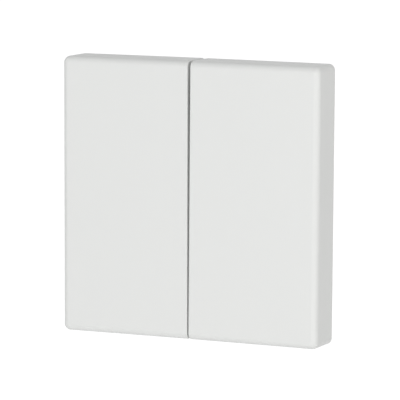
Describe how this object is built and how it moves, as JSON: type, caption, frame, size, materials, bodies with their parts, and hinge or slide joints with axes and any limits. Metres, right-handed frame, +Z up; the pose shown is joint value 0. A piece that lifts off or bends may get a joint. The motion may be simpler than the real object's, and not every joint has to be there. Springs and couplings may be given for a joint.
{
  "type": "double rocker wall switch",
  "caption": "Flat square wall switch: side-by-side spring-return rocker caps on a clip-on tray with a self-powered radio module and a screwed wall plate.",
  "frame": {"origin": "centre of the wall plate's back face, which lies on the wall", "axes": "+Z up, +X to the right as seen from the room, +Y into the wall, front faces towards -Y"},
  "size_m": [0.055, 0.014, 0.055],
  "materials": {
    "rocker_plastic": "satin moulded, pure white",
    "plate_plastic": "fine spark-eroded texture, white",
    "tray_plastic": "fine spark-eroded texture, light grey",
    "cover_plastic": "matt, dark grey",
    "screw_steel": "zinc plated",
    "board_laminate": "green solder mask on glass laminate",
    "chip_resin": "black moulded resin",
    "crystal_can": "plated can",
    "capacitor_resin": "yellow moulded resin",
    "antenna_strip": "stamped strip, tin on brass",
    "pin_tin": "tinned",
    "bobbin_resin": "black glass-filled resin",
    "coil_wire": "enamelled copper winding",
    "core_steel": "annealed soft iron",
    "magnet_plate": "nickel plated",
    "lever_resin": "natural acetal",
    "dome_silicone": "translucent grey silicone"
  },
  "bodies": {
    "base": {"wall_plate": "plate_plastic", "carrier_tray": "tray_plastic", "module_cover": "cover_plastic", "cover_screws": "screw_steel", "circuit_board": "board_laminate", "radio_chip": "chip_resin", "crystal": "crystal_can", "storage_capacitors": "capacitor_resin", "rectifiers": "chip_resin", "antenna": "antenna_strip", "coil_pins": "pin_tin", "left_bobbin": "bobbin_resin", "right_bobbin": "bobbin_resin", "left_coil": "coil_wire", "right_coil": "coil_wire", "left_core": "core_steel", "right_core": "core_steel", "left_top_dome": "dome_silicone", "left_bottom_dome": "dome_silicone", "right_top_dome": "dome_silicone", "right_bottom_dome": "dome_silicone"},
    "left_rocker": {"left_rocker_cap": "rocker_plastic"},
    "left_lever": {"left_lever": "lever_resin", "left_magnet": "magnet_plate", "left_pole_plates": "core_steel"},
    "right_rocker": {"right_rocker_cap": "rocker_plastic"},
    "right_lever": {"right_lever": "lever_resin", "right_magnet": "magnet_plate", "right_pole_plates": "core_steel"}
  },
  "joints": [
    {"name": "left_rocker_hinge", "type": "hinge", "parent": "base", "child": "left_rocker", "pos_m": [0, -0.0109, 0], "axis": [1, 0, 0], "range_deg": [-3.5, 3.5], "stiffness_Nm_per_rad": 0.6, "deforming": ["left_top_dome", "left_bottom_dome"]},
    {"name": "left_lever_hinge", "type": "hinge", "parent": "base", "child": "left_lever", "pos_m": [0, -0.00607, 0], "axis": [1, 0, 0], "range_deg": [-1.9, 1.9]},
    {"name": "right_rocker_hinge", "type": "hinge", "parent": "base", "child": "right_rocker", "pos_m": [0, -0.0109, 0], "axis": [1, 0, 0], "range_deg": [-3.5, 3.5], "stiffness_Nm_per_rad": 0.6, "deforming": ["right_top_dome", "right_bottom_dome"]},
    {"name": "right_lever_hinge", "type": "hinge", "parent": "base", "child": "right_lever", "pos_m": [0, -0.00607, 0], "axis": [1, 0, 0], "range_deg": [-1.9, 1.9]}
  ],
  "couplings": [
    {"joint": "left_lever_hinge", "follows": "left_rocker_hinge", "ratio": -0.54268},
    {"joint": "right_lever_hinge", "follows": "right_rocker_hinge", "ratio": -0.54268}
  ]
}
